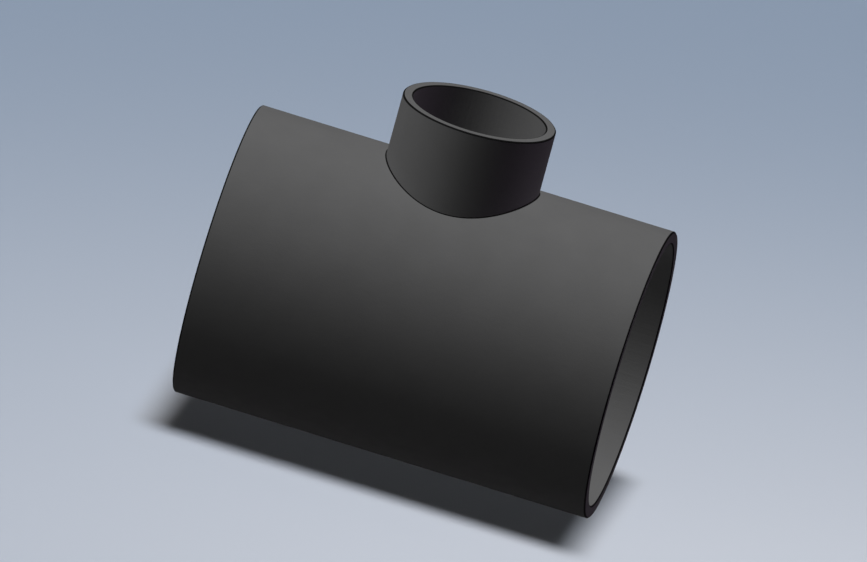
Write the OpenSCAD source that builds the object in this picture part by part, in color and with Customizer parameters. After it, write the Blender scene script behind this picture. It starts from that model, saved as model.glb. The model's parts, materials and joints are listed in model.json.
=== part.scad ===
// Reducing tee: a straight run of pipe with a smaller branch rising from its middle.
// It is one solid piece with three square, plain ends. The branch meets the run in a crisp
// saddle-shaped corner, and its bore opens straight into the bore of the run.
// The origin is where the two axes cross. +X lies along the run and +Z up the branch.

/* [Run] */
// Outside diameter of the run
run_od = 114.3; // [100:0.1:150]
// Wall thickness of the run
run_wall = 5; // [2:0.1:10]
// Length of the run, end to end
run_length = 165.5; // [120:0.5:400]

/* [Branch] */
// Outside diameter of the branch
branch_od = 60.3; // [30:0.1:76]
// Wall thickness of the branch
branch_wall = 4; // [2:0.1:8]
// Height of the branch's open end above the axis of the run
branch_height = 82.5; // [80:0.5:250]

/* [Edges] */
// Width of the small bevel that breaks each end edge, inside and outside
edge_break = 0.4; // [0.1:0.1:0.8]

/* [Hidden] */
$fn = 144;
run_r = run_od / 2;
run_bore_r = run_r - run_wall;
branch_r = branch_od / 2;
branch_bore_r = branch_r - branch_wall;
// How far a bore's cutter runs on past the end that it opens
run_out = 1;

// Round bar along +Z between two heights, with both end edges bevelled
module bar(r, low, high) {
    rotate_extrude()
        polygon([
            [0, low],
            [r - edge_break, low],
            [r, low + edge_break],
            [r, high - edge_break],
            [r - edge_break, high],
            [0, high]
        ]);
}

// Cutter for a bore along +Z that opens through two heights and bevels the edge at each
module bore(r, low, high) {
    flare = edge_break + run_out;
    rotate_extrude()
        polygon([
            [0, low - run_out],
            [r + flare, low - run_out],
            [r, low + edge_break],
            [r, high - edge_break],
            [r + flare, high + run_out],
            [0, high + run_out]
        ]);
}

// Turns a shape that stands along +Z down onto the axis of the run
module along_run() {
    rotate([0, 90, 0])
        children();
}

// Both pipes as one piece. The branch's bar and bore start on the axis of the run,
// inside its bore, so that only what stands above the bore is left of them.
module tee_body() {
    color("dimgray")
        difference() {
            union() {
                along_run()
                    bar(run_r, -run_length / 2, run_length / 2);
                bar(branch_r, 0, branch_height);
            }
            along_run()
                bore(run_bore_r, -run_length / 2, run_length / 2);
            bore(branch_bore_r, 0, branch_height);
        }
}

tee_body();
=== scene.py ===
"""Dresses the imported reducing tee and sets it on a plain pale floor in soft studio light.

The tee is one piece of coated steel. Its whole surface is built here as one closed mesh of
four-sided faces: the two outside walls, the two bores, the three square ends with their small
bevels, and the saddle-shaped corners where the branch goes through the run. Each kind of
surface has a finish of its own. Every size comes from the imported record, in metres.
"""

import json
import logging
import math
from dataclasses import dataclass, field
from enum import Enum

import bpy
import numpy as np
from mathutils import Matrix, Vector


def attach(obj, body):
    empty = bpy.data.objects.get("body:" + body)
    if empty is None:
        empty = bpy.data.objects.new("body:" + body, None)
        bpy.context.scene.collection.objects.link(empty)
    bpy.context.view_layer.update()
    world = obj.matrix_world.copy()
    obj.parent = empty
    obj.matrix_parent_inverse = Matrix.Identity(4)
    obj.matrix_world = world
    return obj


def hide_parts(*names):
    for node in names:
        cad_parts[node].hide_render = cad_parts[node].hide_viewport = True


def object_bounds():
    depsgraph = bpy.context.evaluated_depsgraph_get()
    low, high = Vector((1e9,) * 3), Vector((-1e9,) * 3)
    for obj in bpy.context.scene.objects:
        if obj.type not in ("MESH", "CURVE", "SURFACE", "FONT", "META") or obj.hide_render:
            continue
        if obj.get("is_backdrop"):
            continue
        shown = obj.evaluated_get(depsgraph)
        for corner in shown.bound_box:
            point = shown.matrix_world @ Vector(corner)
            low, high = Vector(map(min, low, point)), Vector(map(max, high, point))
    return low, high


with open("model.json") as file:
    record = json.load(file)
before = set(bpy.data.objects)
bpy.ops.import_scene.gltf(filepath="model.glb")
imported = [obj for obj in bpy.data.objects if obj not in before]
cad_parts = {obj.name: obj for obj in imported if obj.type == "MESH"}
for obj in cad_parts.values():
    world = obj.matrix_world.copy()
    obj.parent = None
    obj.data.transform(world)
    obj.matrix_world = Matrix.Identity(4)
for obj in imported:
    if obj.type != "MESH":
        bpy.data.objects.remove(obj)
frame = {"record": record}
CAD_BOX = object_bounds()

MM = 0.001
NODE = "tee_body"
LOG = logging.getLogger("tee")


class Finish(Enum):
    """Finishes of the tee, numbered as its material slots."""

    COAT = 0
    RUN_BORE = 1
    BRANCH_BORE = 2
    RUN_FACE = 3
    BRANCH_FACE = 4
    EDGE = 5


class Axis(Enum):
    """The two axes of the tee."""

    RUN = "X"
    BRANCH = "Z"

    def ring(self, along: np.ndarray, out: np.ndarray, turn: np.ndarray) -> np.ndarray:
        """Places points, or vectors, round this axis.

        Args:
            along: Distance along the axis.
            out: Distance away from the axis.
            turn: Angle round the axis, from the top for the run and from +X for the branch.

        Returns:
            An array with one more dimension, which holds X, Y and Z.
        """
        along, out, turn = np.broadcast_arrays(along, out, turn)
        if self is Axis.RUN:
            return np.stack([along, out * np.sin(turn), out * np.cos(turn)], axis=-1)
        return np.stack([out * np.cos(turn), out * np.sin(turn), along], axis=-1)


@dataclass(frozen=True)
class TeeSizes:
    """Sizes of the tee, in metres.

    A wall's outside radius is worked out from its bore and from the middle of its end ring.
    """

    run_r: float
    run_bore_r: float
    run_half: float
    branch_r: float
    branch_bore_r: float
    branch_top: float
    edge_break: float

    @classmethod
    def from_record(cls, record: dict) -> "TeeSizes":
        """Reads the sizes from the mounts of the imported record.

        Args:
            record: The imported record.

        Returns:
            The sizes of the tee.
        """
        mounts = {mount["name"]: mount for mount in record["mounts"]}
        run_bore_r = mounts["run_bore"]["dims"]["r_mm"] * MM
        branch_bore_r = mounts["branch_bore"]["dims"]["r_mm"] * MM
        run_half, _, run_ring_r = mounts["run_end_right"]["pos_m"]
        branch_ring_r, _, branch_top = mounts["branch_end"]["pos_m"]
        bore_length = mounts["run_bore"]["dims"]["length_mm"] * MM
        return cls(
            run_r=2 * run_ring_r - run_bore_r,
            run_bore_r=run_bore_r,
            run_half=run_half,
            branch_r=2 * branch_ring_r - branch_bore_r,
            branch_bore_r=branch_bore_r,
            branch_top=branch_top,
            edge_break=run_half - bore_length / 2,
        )


@dataclass(frozen=True)
class Fineness:
    """How finely the surface is divided, and how wide its rounded corners are.

    The wall of the run is a plain grid, apart from a block on top of it, round the saddle. The
    block goes block_turn each way round the run, and block_reach of the run's radius each way
    along it. Rings of faces fill it, each ring_growth times as wide as the one inside it.
    """

    block_cells: int = 64
    side_cells: int = 22
    ring_rows: int = 9
    ring_growth: float = 1.25
    corner_cells: int = 5
    branch_rows: int = 14
    face_rows: int = 4
    ease_cells: int = 3
    saddle_round: float = 0.45 * MM
    bevel_ease: float = 0.08 * MM
    block_turn: float = math.pi / 4
    block_reach: float = 0.735

    @property
    def round_cells(self) -> int:
        """Number of faces once round either axis."""
        return 4 * self.block_cells

    @property
    def run_turns(self) -> np.ndarray:
        """Divides the run all round, from one edge of the block.

        Returns:
            Angles between one face and the next, closed.
        """
        step = 2 * self.block_turn / self.block_cells
        turns = (np.arange(self.round_cells + 1) - self.block_cells / 2) * step
        turns[-1] = turns[0]
        return turns


class QuadShell:
    """A closed mesh put together from patches of four-sided faces.

    Points of two patches that are the same to WELD metres become one.
    """

    WELD = 1e-9

    def __init__(self) -> None:
        """Starts with no faces."""
        self.corners: list[np.ndarray] = []
        self.normals: list[np.ndarray] = []
        self.slots: list[np.ndarray] = []

    def add(
        self,
        points: np.ndarray,
        normals: np.ndarray,
        finish: Finish | list[Finish],
        keep: np.ndarray | None = None,
    ) -> None:
        """Adds a grid of faces.

        Args:
            points: Rows by columns by three.
            normals: Outward normals at the same places.
            finish: One finish, or one for each row of faces.
            keep: Which cells of the grid get a face, or None for all of them.
        """
        rows, columns = points.shape[0] - 1, points.shape[1] - 1
        kept = np.ones((rows, columns), bool) if keep is None else keep
        each = [finish] * rows if isinstance(finish, Finish) else finish
        slots = np.repeat(np.array([[f.value] for f in each]), columns, axis=1)
        self.corners.append(self._cells(points)[kept])
        self.normals.append(self._cells(normals)[kept])
        self.slots.append(slots[kept])

    @staticmethod
    def _cells(grid: np.ndarray) -> np.ndarray:
        """The four corners of each cell of a grid."""
        return np.stack([grid[:-1, :-1], grid[1:, :-1], grid[1:, 1:], grid[:-1, 1:]], axis=2)

    def build(self, name: str) -> bpy.types.Object:
        """Welds the patches into one smooth mesh whose corners keep their true normals.

        Args:
            name: Name of the new object.

        Returns:
            The object, linked to the scene.
        """
        corners = np.concatenate(self.corners)
        normals = np.concatenate(self.normals)
        grid = np.round(corners.reshape(-1, 3) / self.WELD).astype(np.int64)
        _, first, index = np.unique(grid, axis=0, return_index=True, return_inverse=True)
        faces = index.reshape(-1, 4)
        across = np.cross(corners[:, 2] - corners[:, 0], corners[:, 3] - corners[:, 1])
        inward = np.einsum("ij,ij->i", across, normals.mean(axis=1)) < 0
        faces[inward] = faces[inward, ::-1]
        normals[inward] = normals[inward, ::-1]
        mesh = bpy.data.meshes.new(name)
        mesh.from_pydata(corners.reshape(-1, 3)[first].tolist(), [], faces.tolist())
        mesh.polygons.foreach_set("material_index", np.concatenate(self.slots).astype(np.int32))
        mesh.polygons.foreach_set("use_smooth", np.ones(len(faces), bool))
        mesh.normals_split_custom_set(normals.reshape(-1, 3).tolist())
        mesh.update()
        piece = bpy.data.objects.new(name, mesh)
        bpy.context.scene.collection.objects.link(piece)
        return piece


@dataclass(frozen=True)
class SaddleWall:
    """One wall of the run, inside or outside, and what joins it to the branch.

    The corner between the two is rounded by a ball that rolls along both walls.
    """

    sizes: TeeSizes
    fineness: Fineness
    outside: bool

    @property
    def run_r(self) -> float:
        """Radius of this wall of the run."""
        return self.sizes.run_r if self.outside else self.sizes.run_bore_r

    @property
    def branch_r(self) -> float:
        """Radius of the wall of the branch that meets it."""
        return self.sizes.branch_r if self.outside else self.sizes.branch_bore_r

    @property
    def facing(self) -> float:
        """Plus one where the wall faces away from its axis and minus one where it faces it."""
        return 1.0 if self.outside else -1.0

    @property
    def block_half(self) -> float:
        """Half the length of the block of faces that surrounds the saddle."""
        return self.run_r * self.fineness.block_reach

    def block_outline(self) -> tuple[np.ndarray, np.ndarray]:
        """Goes once round the block.

        Returns:
            The place along the run and the turn round it, point by point, closed.
        """
        cells = self.fineness.block_cells
        sweep = np.linspace(-1.0, 1.0, cells + 1)
        full = np.ones(cells)
        along = np.concatenate([full, -sweep[:-1], -full, sweep])
        turn = np.concatenate([sweep[:-1], full, -sweep[:-1], -np.ones(cells + 1)])
        return along * self.block_half, turn * self.fineness.block_turn

    def angles(self) -> np.ndarray:
        """Finds the angles round the branch that face the points of the block's outline.

        Returns:
            One angle for each point, closed.
        """
        along, turn = self.block_outline()
        found = np.unwrap(np.arctan2(turn * self.run_r, along))
        found[-1] = found[0] + 2 * math.pi
        return found

    def corner(self) -> tuple[np.ndarray, np.ndarray]:
        """Rounds the corner between run and branch.

        Returns:
            Points and normals, from the run's edge of the corner to the branch's.
        """
        ball, angles = self.fineness.saddle_round, self.angles()
        centre = Axis.BRANCH.ring(0.0, self.branch_r + ball, angles)
        centre[:, 2] = np.sqrt((self.run_r + ball) ** 2 - centre[:, 1] ** 2)
        to_run = centre * [0.0, -1.0, -1.0] / (self.run_r + ball)
        to_branch = -Axis.BRANCH.ring(0.0, 1.0, angles)
        span = np.arccos(np.einsum("ij,ij->i", to_run, to_branch))
        share = np.linspace(0.0, 1.0, self.fineness.corner_cells + 1)[:, None]
        from_run = np.sin((1 - share) * span)[..., None] * to_run
        from_branch = np.sin(share * span)[..., None] * to_branch
        spoke = (from_run + from_branch) / np.sin(span)[:, None]
        points, normals = centre + ball * spoke, -self.facing * spoke
        points[:, -1], normals[:, -1] = points[:, 0], normals[:, 0]
        return points, normals

    def add_run(self, shell: QuadShell, end: float) -> None:
        """Adds the wall of the run, from end to end, round the saddle.

        Args:
            shell: The mesh that the faces go to.
            end: Where the wall stops, each way along the run.
        """
        cells, sides = self.fineness.block_cells, self.fineness.side_cells
        block = np.linspace(-1.0, 1.0, cells + 1) * self.block_half
        side = np.linspace(self.block_half, end, sides + 1)
        along = np.concatenate([-side[:0:-1], block, side[1:]])
        keep = np.ones((self.fineness.round_cells, len(along) - 1), bool)
        keep[:cells, sides:sides + cells] = False
        finish = Finish.COAT if self.outside else Finish.RUN_BORE
        points = Axis.RUN.ring(along, self.run_r, self.fineness.run_turns[:, None])
        shell.add(points, self._radial(points), finish, keep)
        self._add_block(shell, finish)

    def _radial(self, points: np.ndarray) -> np.ndarray:
        """Normals of the run's wall at some points on it."""
        return self.facing * points * [0.0, 1.0, 1.0] / self.run_r

    def _add_block(self, shell: QuadShell, finish: Finish) -> None:
        """Adds the rings of faces between the saddle and the block's outline.

        Args:
            shell: The mesh that the faces go to.
            finish: Finish of this wall.
        """
        along, turn = self.block_outline()
        edge = self.corner()[0][0]
        count, growth = self.fineness.ring_rows, self.fineness.ring_growth
        share = (growth ** np.arange(count + 1) - 1) / (growth**count - 1)
        share = share[:, None]
        edge_turn = np.arctan2(edge[:, 1], edge[:, 2])
        points = Axis.RUN.ring(
            (1 - share) * edge[:, 0] + share * along,
            self.run_r,
            (1 - share) * edge_turn + share * turn,
        )
        points[0] = edge
        points[-1] = Axis.RUN.ring(along, self.run_r, turn)
        shell.add(points, self._radial(points), finish)

    def add_corner(self, shell: QuadShell) -> None:
        """Adds the rounded corner between run and branch."""
        points, normals = self.corner()
        shell.add(points, normals, Finish.EDGE)

    def add_branch(self, shell: QuadShell, end: float) -> None:
        """Adds the wall of the branch, from the corner up.

        Args:
            shell: The mesh that the faces go to.
            end: Height at which the wall stops.
        """
        angles = self.angles()
        foot = self.corner()[0][-1]
        share = np.linspace(0.0, 1.0, self.fineness.branch_rows + 1)[:, None]
        height = (1 - share) * foot[:, 2] + share * end
        points = Axis.BRANCH.ring(height, self.branch_r, angles)
        normals = Axis.BRANCH.ring(0.0, self.facing, np.broadcast_to(angles, height.shape))
        points[0] = foot
        points[:, -1] = points[:, 0]
        shell.add(points, normals, Finish.COAT if self.outside else Finish.BRANCH_BORE)


@dataclass(frozen=True)
class SquareEnd:
    """A square pipe end: a flat ring between two small bevels, with every corner eased.

    The dark finish of each bevel reaches a little way on to the ring, and on to the outside wall.
    """

    axis: Axis
    side: float
    reach: float
    outer_r: float
    bore_r: float
    edge_break: float
    fineness: Fineness
    face: Finish
    dark_reach: float = 0.15 * MM

    def wall_end(self, outside: bool) -> float:
        """Finds where a wall's own finish stops.

        Args:
            outside: True for the outside wall and False for the bore.

        Returns:
            Distance along the axis.
        """
        eased = self.fineness.bevel_ease * math.tan(math.pi / 8)
        dark = self.dark_reach if outside else 0.0
        return self.reach - self.edge_break - eased - dark

    def eased(self, number: int, along: float, out: float) -> tuple[np.ndarray, np.ndarray]:
        """Rounds one corner of the end's outline, which turns by an eighth of a circle there.

        Args:
            number: Number of the corner, from 0 at the outside wall to 3 at the bore.
            along: Place of the sharp corner along the axis.
            out: Its distance from the axis.

        Returns:
            Points, then normals, as distances along and out from the axis.
        """
        ease, eighth = self.fineness.bevel_ease, math.pi / 4
        first = math.pi / 2 - number * eighth
        middle, offset = first - eighth / 2, ease / math.cos(eighth / 2)
        bend = np.linspace(first, first - eighth, self.fineness.ease_cells + 1)
        spoke = np.stack([np.cos(bend), np.sin(bend)], axis=1)
        centre = np.array([along - offset * math.cos(middle), out - offset * math.sin(middle)])
        return centre + ease * spoke, spoke

    def section(self) -> tuple[np.ndarray, np.ndarray, list[Finish]]:
        """Draws the end's outline, from the outside wall round to the bore.

        Returns:
            Points, then normals, as distances along and out from the axis, and the finish of
            each stretch between two points.
        """
        near = self.reach - self.edge_break
        wall = [(self.wall_end(True), self.outer_r)], [(0.0, 1.0)]
        outer = [
            self.eased(0, near, self.outer_r),
            self.eased(1, self.reach, self.outer_r - self.edge_break),
        ]
        inner = [
            self.eased(2, self.reach, self.bore_r + self.edge_break),
            self.eased(3, near, self.bore_r),
        ]
        rows = self.fineness.face_rows
        high = outer[1][0][-1, 1] - self.dark_reach
        low = inner[0][0][0, 1] + self.dark_reach
        ring = [(self.reach, out) for out in np.linspace(high, low, rows + 1)]
        stretches = [wall, *outer, (ring, [(1.0, 0.0)] * len(ring)), *inner]
        points = np.concatenate([places for places, _ in stretches])
        normals = np.concatenate([leans for _, leans in stretches])
        points[-1] = self.wall_end(False), self.bore_r
        bevel = [Finish.EDGE] * (2 * self.fineness.ease_cells + 2)
        return points, normals, [Finish.EDGE, *bevel, *[self.face] * rows, *bevel]

    def add(self, shell: QuadShell, angles: np.ndarray) -> None:
        """Sweeps the outline round the axis.

        Args:
            shell: The mesh that the faces go to.
            angles: Angles round the axis, closed.
        """
        points, normals, finishes = self.section()
        place = self.axis.ring(self.side * points[:, :1], points[:, 1:], angles)
        lean = self.axis.ring(self.side * normals[:, :1], normals[:, 1:], angles)
        place[:, -1] = place[:, 0]
        shell.add(place, lean, finishes)


class FinishGraph:
    """The shader nodes of one finish, with short calls for what the finishes share.

    Most of the values of soft random patches lie in MIDDLE. WAVER is how far turned marks
    stray from true circles, and WAVER_DETAIL how finely.
    """

    MIDDLE = (0.3, 0.7)
    WAVER = 0.6
    WAVER_DETAIL = 4.0

    def __init__(self, name: str) -> None:
        """Makes a material that holds its coordinates and its shader.

        Args:
            name: Name of the material.
        """
        self.material = bpy.data.materials.new(name)
        self.material.use_nodes = True
        self.tree = self.material.node_tree
        self.shader = self.tree.nodes["Principled BSDF"]
        place = self.tree.nodes.new("ShaderNodeTexCoord")
        self.place = place.outputs["Object"]

    def link(self, source: bpy.types.NodeSocket, target: bpy.types.NodeSocket) -> None:
        """Joins two sockets."""
        self.tree.links.new(source, target)

    def stretched(self, scale: tuple[float, float, float]) -> bpy.types.NodeSocket:
        """Scales the surface's coordinates.

        Args:
            scale: Factor along each axis.

        Returns:
            The scaled coordinates.
        """
        mapping = self.tree.nodes.new("ShaderNodeMapping")
        mapping.inputs["Scale"].default_value = scale
        self.link(self.place, mapping.inputs["Vector"])
        return mapping.outputs["Vector"]

    def noise(
        self,
        size: float,
        detail: float = 2.0,
        place: bpy.types.NodeSocket | None = None,
    ) -> bpy.types.NodeSocket:
        """Soft random patches.

        Args:
            size: Size of a patch, in metres.
            detail: How many finer layers it has.
            place: Coordinates, or None for the surface's own.

        Returns:
            A value that varies about one half.
        """
        texture = self.tree.nodes.new("ShaderNodeTexNoise")
        texture.inputs["Scale"].default_value = 1 / size
        texture.inputs["Detail"].default_value = detail
        self.link(place or self.place, texture.inputs["Vector"])
        return texture.outputs["Fac"]

    def turned_marks(self, axis: Axis, pitch: float) -> bpy.types.NodeSocket:
        """Fine rings round an axis, as a turning tool leaves them.

        Args:
            axis: The axis that the rings go round.
            pitch: Distance from ring to ring, in metres.

        Returns:
            A value that rises and falls once in each pitch.
        """
        texture = self.tree.nodes.new("ShaderNodeTexWave")
        texture.wave_type = "RINGS"
        texture.rings_direction = axis.value
        texture.inputs["Scale"].default_value = math.pi / (10 * pitch)
        texture.inputs["Distortion"].default_value = self.WAVER
        texture.inputs["Detail Scale"].default_value = self.WAVER_DETAIL
        self.link(self.place, texture.inputs["Vector"])
        return texture.outputs["Fac"]

    def between(
        self, value: bpy.types.NodeSocket, low: float, high: float
    ) -> bpy.types.NodeSocket:
        """Spreads a texture's middle range between two numbers.

        Args:
            value: The texture.
            low: What the low end of the range becomes.
            high: What the high end becomes.

        Returns:
            The spread value.
        """
        spread = self.tree.nodes.new("ShaderNodeMapRange")
        spread.inputs["From Min"].default_value = self.MIDDLE[0]
        spread.inputs["From Max"].default_value = self.MIDDLE[1]
        spread.inputs["To Min"].default_value = low
        spread.inputs["To Max"].default_value = high
        self.link(value, spread.inputs["Value"])
        return spread.outputs["Result"]

    def tone(
        self,
        colour: tuple[float, float, float],
        value: bpy.types.NodeSocket,
        swing: float,
    ) -> None:
        """Lets the base colour drift a little lighter and darker.

        Args:
            colour: The finish's middle colour, linear.
            value: The texture that it follows.
            swing: Share by which it goes up and down.
        """
        ramp = self.tree.nodes.new("ShaderNodeValToRGB")
        for element, share, stop in zip(ramp.color_ramp.elements, (-swing, swing), self.MIDDLE):
            element.position = stop
            element.color = (*(channel * (1 + share) for channel in colour), 1.0)
        self.link(value, ramp.inputs["Fac"])
        self.link(ramp.outputs["Color"], self.shader.inputs["Base Color"])

    def relief(self, layers: list[tuple[bpy.types.NodeSocket, float]]) -> None:
        """Raises the surface by some textures.

        Args:
            layers: Each texture and its height in metres, coarse ones first.
        """
        under = None
        for value, height in layers:
            bump = self.tree.nodes.new("ShaderNodeBump")
            bump.inputs["Strength"].default_value = 1.0
            bump.inputs["Distance"].default_value = height
            self.link(value, bump.inputs["Height"])
            if under:
                self.link(under, bump.inputs["Normal"])
            under = bump.outputs["Normal"]
        self.link(under, self.shader.inputs["Normal"])


@dataclass(frozen=True)
class SatinCoat:
    """Dark grey satin coating on steel: nearly even, with a slight orange peel and fine grit."""

    name: str = "satin_coat"
    colour: tuple[float, float, float] = (0.125, 0.125, 0.126)
    tone_size: float = 14 * MM
    tone_swing: float = 0.03
    gloss_size: float = 5 * MM
    roughness: tuple[float, float] = (0.74, 0.82)
    specular: float = 0.1
    peel_size: float = 1.6 * MM
    peel_height: float = 0.03 * MM
    grit_size: float = 0.35 * MM
    grit_height: float = 0.04 * MM

    def graph(self) -> FinishGraph:
        """Builds the coating's nodes.

        Returns:
            The nodes, with their material.
        """
        graph = FinishGraph(self.name)
        graph.tone(self.colour, graph.noise(self.tone_size, 4.0), self.tone_swing)
        gloss = graph.between(graph.noise(self.gloss_size, 3.0), *self.roughness)
        graph.link(gloss, graph.shader.inputs["Roughness"])
        graph.shader.inputs["Specular IOR Level"].default_value = self.specular
        graph.relief(self.layers(graph))
        return graph

    def layers(self, graph: FinishGraph) -> list[tuple[bpy.types.NodeSocket, float]]:
        """Relief of the coating, coarse first."""
        return [
            (graph.noise(self.peel_size, 1.0), self.peel_height),
            (graph.noise(self.grit_size, 2.0), self.grit_height),
        ]


@dataclass(frozen=True)
class DrawnBoreWithPaintedShade(SatinCoat):
    """The same coating inside a pipe, over faint streaks along it, darker by a painted shade."""

    # Painted shade: darker than the outside coat, to take back the light that bounces round inside
    # the bore.
    colour: tuple[float, float, float] = (0.119, 0.119, 0.120)
    axis: Axis = Axis.RUN
    streak_width: float = 0.9 * MM
    streak_length: float = 45 * MM
    streak_height: float = 0.05 * MM

    def layers(self, graph: FinishGraph) -> list[tuple[bpy.types.NodeSocket, float]]:
        """Adds the streaks under the coating's own relief.

        Args:
            graph: The nodes of this finish.

        Returns:
            Each texture and its height in metres, coarse ones first.
        """
        long = self.streak_width / self.streak_length
        scale = (long, 1.0, 1.0) if self.axis is Axis.RUN else (1.0, 1.0, long)
        streaks = graph.noise(self.streak_width, 2.0, graph.stretched(scale))
        return [(streaks, self.streak_height), *super().layers(graph)]


@dataclass(frozen=True)
class TurnedFace(SatinCoat):
    """The same coating on a turned ring, which keeps the tool's fine rings."""

    axis: Axis = Axis.RUN
    pitch: float = 0.32 * MM
    mark_height: float = 0.025 * MM

    def layers(self, graph: FinishGraph) -> list[tuple[bpy.types.NodeSocket, float]]:
        """Relief of the coating with its turned rings, coarse first."""
        marks = graph.turned_marks(self.axis, self.pitch)
        return [(marks, self.mark_height), *super().layers(graph)]


@dataclass(frozen=True)
class DarkEdge(SatinCoat):
    """The blackened metal of the bevels and of the corner between the pipes."""

    name: str = "dark_edge"
    colour: tuple[float, float, float] = (0.004, 0.004, 0.004)
    tone_swing: float = 0.2


@dataclass
class Tee:
    """The whole fitting, as one piece."""

    sizes: TeeSizes
    fineness: Fineness = field(default_factory=Fineness)
    name: str = "tee_fitting"

    def ends(self) -> list[SquareEnd]:
        """Lists the three square ends.

        Returns:
            The right end of the run, its left end and the end of the branch.
        """
        sizes, fineness = self.sizes, self.fineness
        run = [
            SquareEnd(
                axis=Axis.RUN,
                side=side,
                reach=sizes.run_half,
                outer_r=sizes.run_r,
                bore_r=sizes.run_bore_r,
                edge_break=sizes.edge_break,
                fineness=fineness,
                face=Finish.RUN_FACE,
            )
            for side in (1.0, -1.0)
        ]
        branch = SquareEnd(
            axis=Axis.BRANCH,
            side=1.0,
            reach=sizes.branch_top,
            outer_r=sizes.branch_r,
            bore_r=sizes.branch_bore_r,
            edge_break=sizes.edge_break,
            fineness=fineness,
            face=Finish.BRANCH_FACE,
        )
        return [*run, branch]

    def build(self) -> bpy.types.Object:
        """Builds the mesh and gives it its finishes.

        Returns:
            The tee's object, riding on the root body in the place of its plain solid.
        """
        shell = QuadShell()
        right, left, branch = self.ends()
        walls = [SaddleWall(self.sizes, self.fineness, outside) for outside in (True, False)]
        for wall in walls:
            wall.add_run(shell, right.wall_end(wall.outside))
            wall.add_corner(shell)
            wall.add_branch(shell, branch.wall_end(wall.outside))
        right.add(shell, self.fineness.run_turns)
        left.add(shell, self.fineness.run_turns)
        branch.add(shell, walls[0].angles())
        piece = shell.build(self.name)
        self.dress(piece)
        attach(piece, "root")
        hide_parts(NODE)
        return piece

    @staticmethod
    def dress(piece: bpy.types.Object) -> None:
        """Gives the mesh one material for each finish, in the order of the finishes.

        Args:
            piece: The tee's object.
        """
        coats = {
            Finish.COAT: SatinCoat(),
            Finish.RUN_BORE: DrawnBoreWithPaintedShade(name="run_bore_coat", axis=Axis.RUN),
            Finish.BRANCH_BORE: DrawnBoreWithPaintedShade(name="branch_bore_coat", axis=Axis.BRANCH),
            Finish.RUN_FACE: TurnedFace(name="run_face_coat", axis=Axis.RUN),
            Finish.BRANCH_FACE: TurnedFace(name="branch_face_coat", axis=Axis.BRANCH),
            Finish.EDGE: DarkEdge(),
        }
        for finish in Finish:
            piece.data.materials.append(coats[finish].graph().material)


class Receiver(Enum):
    """What a lamp lights."""

    TEE = "tee_only"
    FLOOR = "floor_only"

    def collection(self) -> bpy.types.Collection:
        """The collection of what such lamps light, made at the first call."""
        return bpy.data.collections.get(self.value) or bpy.data.collections.new(self.value)


@dataclass(frozen=True)
class Floor:
    """A wide, plain, pale floor that touches the lowest line of the run."""

    name: str = "studio_floor"
    half_width: float = 6.0
    cells: int = 40
    colour: tuple[float, float, float] = (0.50, 0.56, 0.66)
    tone_size: float = 0.4
    tone_swing: float = 0.006
    roughness: float = 0.9

    def build(self, height: float) -> bpy.types.Object:
        """Builds the floor.

        Args:
            height: Height of its surface.

        Returns:
            The floor's object, marked as stage.
        """
        line = np.linspace(-self.half_width, self.half_width, self.cells + 1)
        across, deep = np.meshgrid(line, line)
        vertices = np.stack([across, deep, np.full_like(across, height)], axis=-1)
        corner = np.arange(self.cells * (self.cells + 1)).reshape(self.cells, -1)[:, :-1].ravel()
        row = self.cells + 1
        faces = np.stack([corner, corner + 1, corner + row + 1, corner + row], axis=1)
        mesh = bpy.data.meshes.new(self.name)
        mesh.from_pydata(vertices.reshape(-1, 3).tolist(), [], faces.tolist())
        floor = bpy.data.objects.new(self.name, mesh)
        bpy.context.scene.collection.objects.link(floor)
        graph = FinishGraph(self.name)
        graph.tone(self.colour, graph.noise(self.tone_size), self.tone_swing)
        graph.shader.inputs["Roughness"].default_value = self.roughness
        graph.shader.inputs["Specular IOR Level"].default_value = 0.0
        mesh.materials.append(graph.material)
        floor.visible_diffuse = False
        floor.visible_glossy = False
        floor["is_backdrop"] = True
        Receiver.FLOOR.collection().objects.link(floor)
        return floor


class Shade(Enum):
    """What shades the floor from a lamp: one card for far lamps and one for the near lamp."""

    FAR = "far_lamp_card"
    NEAR = "near_lamp_card"

    def collection(self) -> bpy.types.Collection:
        """The collection that holds the card, made at the first call."""
        return bpy.data.collections.get(self.value) or bpy.data.collections.new(self.value)


@dataclass(frozen=True)
class ShadowCard:
    """A flat card that shades the floor in place of the tee. Only the floor's lamps see it.

    It lies level with the axis of the run, and its outline is the tee's seen from above, with a
    small margin. So the shadow is as soft at the ends of the tee as along its sides. A near lamp
    spreads its shadow, so its card is drawn in by as much.
    """

    shade: Shade
    margin: float
    lamp_height: float = math.inf

    def build(self, sizes: TeeSizes) -> bpy.types.Object:
        """Builds the card.

        Args:
            sizes: The sizes of the tee.

        Returns:
            The card's object, marked as stage.
        """
        drawn_in = 1 - sizes.run_r / self.lamp_height
        half_x = (sizes.run_half + self.margin) * drawn_in
        half_y = (sizes.run_r + self.margin) * drawn_in
        corners = [(-half_x, -half_y), (half_x, -half_y), (half_x, half_y), (-half_x, half_y)]
        mesh = bpy.data.meshes.new(self.shade.value)
        mesh.from_pydata([(x, y, 0.0) for x, y in corners], [], [(0, 1, 2, 3)])
        card = bpy.data.objects.new(self.shade.value, mesh)
        bpy.context.scene.collection.objects.link(card)
        card.visible_camera = False
        card.visible_diffuse = False
        card.visible_glossy = False
        card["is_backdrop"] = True
        self.shade.collection().objects.link(card)
        return card


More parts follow.
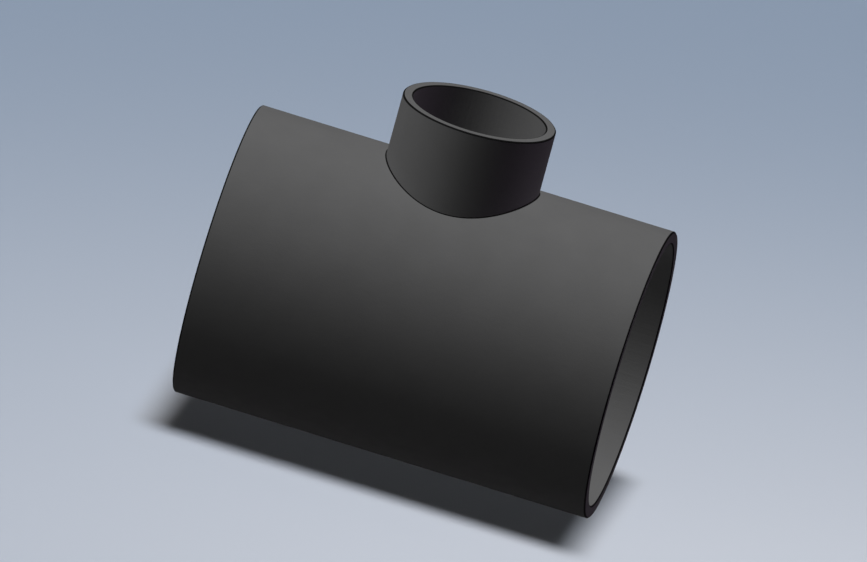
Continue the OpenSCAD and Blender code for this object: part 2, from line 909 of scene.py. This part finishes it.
@dataclass(frozen=True)
class Lamp:
    """A soft parallel lamp, far away. It shades a wall by how the wall faces it.

    A lamp that casts a shadow casts only that of the far lamps' card.
    """

    name: str
    azimuth: float
    elevation: float
    strength: float
    softness: float = 12.0
    tint: tuple[float, float, float] = (1.0, 1.0, 1.0)
    receiver: Receiver = Receiver.TEE
    casts_shadow: bool = False

    def build(self) -> bpy.types.Object:
        """Hangs the lamp.

        Returns:
            The lamp's object, which lights its receiver alone.
        """
        lamp = bpy.data.lights.new(self.name, "SUN")
        lamp.energy = self.strength
        lamp.color = self.tint
        lamp.angle = math.radians(self.softness)
        lamp.use_shadow = self.casts_shadow
        lamp.cycles.use_multiple_importance_sampling = False
        hung = bpy.data.objects.new(self.name, lamp)
        bpy.context.scene.collection.objects.link(hung)
        toward = Vector(direction(self.azimuth, self.elevation))
        hung.location = toward
        hung.rotation_euler = toward.to_track_quat("Z", "Y").to_euler()
        hung.light_linking.receiver_collection = self.receiver.collection()
        if self.casts_shadow:
            hung.light_linking.blocker_collection = Shade.FAR.collection()
        return hung


def direction(azimuth: float, elevation: float) -> tuple[float, float, float]:
    """Points from the tee towards a place round it.

    Args:
        azimuth: Degrees round it, 0 in front (-Y) and 90 at +X.
        elevation: Degrees above the horizon.

    Returns:
        A vector of length one.
    """
    turn, rise = math.radians(azimuth), math.radians(elevation)
    level = math.cos(rise)
    return math.sin(turn) * level, -math.cos(turn) * level, math.sin(rise)


@dataclass(frozen=True)
class OverheadLamp:
    """A round soft lamp straight above, which lightens the floor towards the near right.

    It points at the place aim on the floor, in metres along X and Y from the tee. It casts only
    the shadow of its own card.
    """

    name: str = "overhead_lamp"
    height: float = 1.6
    width: float = 0.5
    power: float = 7.63
    tint: tuple[float, float, float] = (1.0, 0.805, 0.608)
    spread: float = 90.0
    aim: tuple[float, float] = (0.805, -0.523)

    def build(self, floor_height: float) -> bpy.types.Object:
        """Hangs the lamp over the floor.

        Args:
            floor_height: Height of the floor's surface.

        Returns:
            The lamp's object, which lights the floor alone.
        """
        lamp = bpy.data.lights.new(self.name, "AREA")
        lamp.shape = "DISK"
        lamp.size = self.width
        lamp.energy = self.power
        lamp.color = self.tint
        lamp.spread = math.radians(self.spread)
        hung = bpy.data.objects.new(self.name, lamp)
        hung.location = (0.0, 0.0, floor_height + self.height)
        away = Vector((-self.aim[0], -self.aim[1], self.height))
        hung.rotation_euler = away.to_track_quat("Z", "Y").to_euler()
        hung.visible_camera = False
        bpy.context.scene.collection.objects.link(hung)
        hung.light_linking.receiver_collection = Receiver.FLOOR.collection()
        hung.light_linking.blocker_collection = Shade.NEAR.collection()
        return hung


@dataclass(frozen=True)
class Studio:
    """The lamps and the room round them."""

    lamps: tuple[Lamp, ...] = (
        Lamp("left_lamp", azimuth=-69.0, elevation=30.0, strength=1.905, softness=47.0),
        Lamp("top_lamp", azimuth=127.0, elevation=76.0, strength=1.98, softness=41.0),
        Lamp("low_lamp", azimuth=168.0, elevation=-69.0, strength=0.31, softness=8.0),
        Lamp(
            "rose_lamp", azimuth=107.0, elevation=-9.0, strength=0.105, softness=45.0,
            tint=(0.75, 0.0, 1.0),
        ),
        Lamp(
            "floor_fill", azimuth=0.0, elevation=90.0, strength=0.145, softness=180.0,
            tint=(1.0, 0.94, 0.88), receiver=Receiver.FLOOR,
        ),
        Lamp(
            "overhead_sun", azimuth=0.0, elevation=90.0, strength=1.818, softness=18.5,
            tint=(0.771, 0.88, 1.0), receiver=Receiver.FLOOR, casts_shadow=True,
        ),
    )
    overhead: OverheadLamp = OverheadLamp()
    room_tone: tuple[float, float, float] = (0.40, 0.43, 0.50)
    far_margin: float = 2.4 * MM
    near_margin: float = 1.2 * MM

    def cards(self) -> list[ShadowCard]:
        """Lists the cards that shade the floor from its far and its near lamp.

        Returns:
            The two cards. The near one's shadow ends a little inside the other's, so that the
            shadow's edge keeps a plain tone although the two lamps differ in tint.
        """
        far = ShadowCard(Shade.FAR, self.far_margin)
        near = ShadowCard(Shade.NEAR, self.near_margin, self.overhead.height)
        return [far, near]

    def light(self, floor_height: float) -> list[bpy.types.Object]:
        """Hangs every lamp and gives the room its tone.

        Args:
            floor_height: Height of the floor's surface.

        Returns:
            The lamps.
        """
        self.fill_room()
        return [lamp.build() for lamp in self.lamps] + [self.overhead.build(floor_height)]

    def fill_room(self) -> None:
        """Gives the room past the floor a pale tone, which is seen but lights nothing."""
        world = bpy.data.worlds.new("studio_room")
        bpy.context.scene.world = world
        world.use_nodes = True
        tree = world.node_tree
        tree.nodes.clear()
        seen = tree.nodes.new("ShaderNodeLightPath")
        pale = tree.nodes.new("ShaderNodeBackground")
        pale.inputs["Color"].default_value = (*self.room_tone, 1.0)
        out = tree.nodes.new("ShaderNodeOutputWorld")
        tree.links.new(seen.outputs["Is Camera Ray"], pale.inputs["Strength"])
        tree.links.new(pale.outputs[0], out.inputs["Surface"])


@dataclass(frozen=True)
class ParallelCamera:
    """A parallel view of the tee, as steep, as turned and as tilted as the picture's.

    The picture is 867 by 562 pixels. The crossing of the tee's axes lies at tee_pixel in it,
    counted from the middle of the first pixel, and a millimetre of the tee is pixels_per_mm.
    """

    name: str = "parallel_camera"
    azimuth: float = 6.084
    elevation: float = 16.936
    roll: float = 15.325
    image: tuple[int, int] = (867, 562)
    tee_pixel: tuple[float, float] = (424.58, 311.23)
    pixels_per_mm: float = 2.623
    distance: float = 2.0
    clip: tuple[float, float] = (0.01, 20.0)

    def build(self) -> bpy.types.Object:
        """Sets up the camera and makes it the scene's.

        Returns:
            The camera's object.
        """
        data = bpy.data.cameras.new(self.name)
        data.type = "ORTHO"
        metres = MM / self.pixels_per_mm
        data.ortho_scale = self.image[0] * metres
        data.clip_start, data.clip_end = self.clip
        camera = bpy.data.objects.new(self.name, data)
        bpy.context.scene.collection.objects.link(camera)
        back = Vector(direction(self.azimuth, self.elevation))
        level = Vector((-back.y, back.x, 0.0)).normalized()
        tilt = math.radians(self.roll)
        right = math.cos(tilt) * level + math.sin(tilt) * back.cross(level)
        up = back.cross(right)
        middle = [(side - 1) / 2 for side in self.image]
        shift_right = (middle[0] - self.tee_pixel[0]) * metres
        shift_up = (self.tee_pixel[1] - middle[1]) * metres
        place = right * shift_right + up * shift_up + back * self.distance
        turn = Matrix((right, up, back)).transposed()
        camera.matrix_world = Matrix.Translation(place) @ turn.to_4x4()
        bpy.context.scene.camera = camera
        return camera


def write_sizes() -> None:
    """Works out the solids' box and the dressed tee's box, corner by corner, but keeps and writes
    neither.
    """
    boxes = {"cad": CAD_BOX, "visual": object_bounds()}
    {name: [list(corner) for corner in box] for name, box in boxes.items()}


def main() -> None:
    """Builds the tee, its floor, its light and its camera, and reports each."""
    logging.basicConfig(level=logging.INFO, format="%(name)s: %(message)s")
    sizes = TeeSizes.from_record(frame["record"])
    tee = Tee(sizes).build()
    Receiver.TEE.collection().objects.link(tee)
    LOG.info("%s has %d faces", tee.name, len(tee.data.polygons))
    floor = Floor().build(-sizes.run_r)
    LOG.info("%s lies at %.4f m", floor.name, -sizes.run_r)
    studio = Studio()
    cards = [card.build(sizes) for card in studio.cards()]
    LOG.info("the floor is shaded by %s", " and ".join(card.name for card in cards))
    lamps = studio.light(-sizes.run_r)
    LOG.info("%d lamps hang round the tee: %s", len(lamps), ", ".join(lamp.name for lamp in lamps))
    camera = ParallelCamera().build()
    LOG.info("%s is %.3f m wide", camera.name, camera.data.ortho_scale)
    bpy.context.scene.view_settings.view_transform = "Standard"
    write_sizes()


if __name__ == "__main__":
    main()
